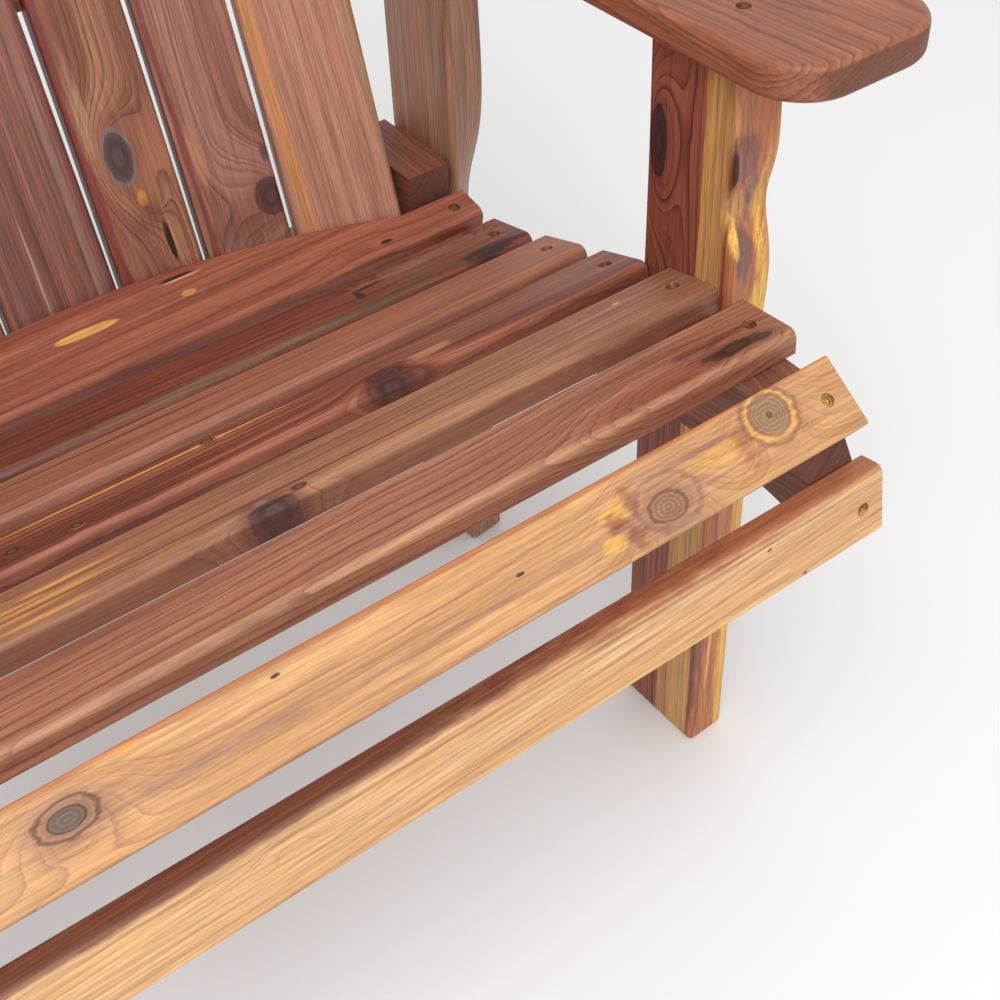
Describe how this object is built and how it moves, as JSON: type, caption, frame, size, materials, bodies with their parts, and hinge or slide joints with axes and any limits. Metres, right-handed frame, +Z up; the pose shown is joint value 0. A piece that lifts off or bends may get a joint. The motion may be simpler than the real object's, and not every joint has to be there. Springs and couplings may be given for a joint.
{
  "type": "adirondack chair",
  "caption": "Slatted cedar garden chair with a scooped waterfall seat, a fanned curved back, flat wide armrests and upright legs with natural wavy front edges.",
  "frame": {"origin": "middle of the chair's outline, on the ground under its four legs", "axes": "+Z up, -Y towards the front where the sitter's knees are, +X across the chair to the right as seen from the front"},
  "size_m": [0.8744, 0.7554, 1.0754],
  "materials": {
    "seat_slats": "oiled red cedar heartwood with a satin sheen and yellow sapwood streaks",
    "back_slats": "oiled purple-brown cedar heartwood with dark knots",
    "frame_boards": "oiled red cedar heartwood, sawn ends darker",
    "legs": "oiled cedar, red heartwood turning to yellow sapwood at the natural edge",
    "armrests": "oiled red cedar with eased edges",
    "screws": "yellow plated countersunk wood screws",
    "bolts": "zinc plated carriage bolts, washers and nuts"
  },
  "bodies": {
    "root": {"armrest_left": "armrests", "armrest_rail": "frame_boards", "armrest_right": "armrests", "armrest_screws": "screws", "back_slat_1": "back_slats", "back_slat_2": "back_slats", "back_slat_3": "back_slats", "back_slat_4": "back_slats", "back_slat_5": "back_slats", "back_slat_6": "back_slats", "back_slat_7": "back_slats", "back_slat_screws": "screws", "front_leg_left": "legs", "front_leg_right": "legs", "front_packer_left": "frame_boards", "front_packer_right": "frame_boards", "leg_bolt_nuts": "bolts", "leg_bolt_washers": "bolts", "leg_bolts": "bolts", "lower_back_rail": "frame_boards", "rail_end_screws": "screws", "rear_leg_left": "legs", "rear_leg_right": "legs", "rear_packer_left": "frame_boards", "rear_packer_right": "frame_boards", "seat_slat_1": "seat_slats", "seat_slat_2": "seat_slats", "seat_slat_3": "seat_slats", "seat_slat_4": "seat_slats", "seat_slat_5": "seat_slats", "seat_slat_6": "seat_slats", "seat_slat_7": "seat_slats", "seat_slat_8": "seat_slats", "seat_slat_screws": "screws", "stringer_left": "frame_boards", "stringer_right": "frame_boards", "upper_back_batten": "frame_boards"}
  },
  "joints": []
}
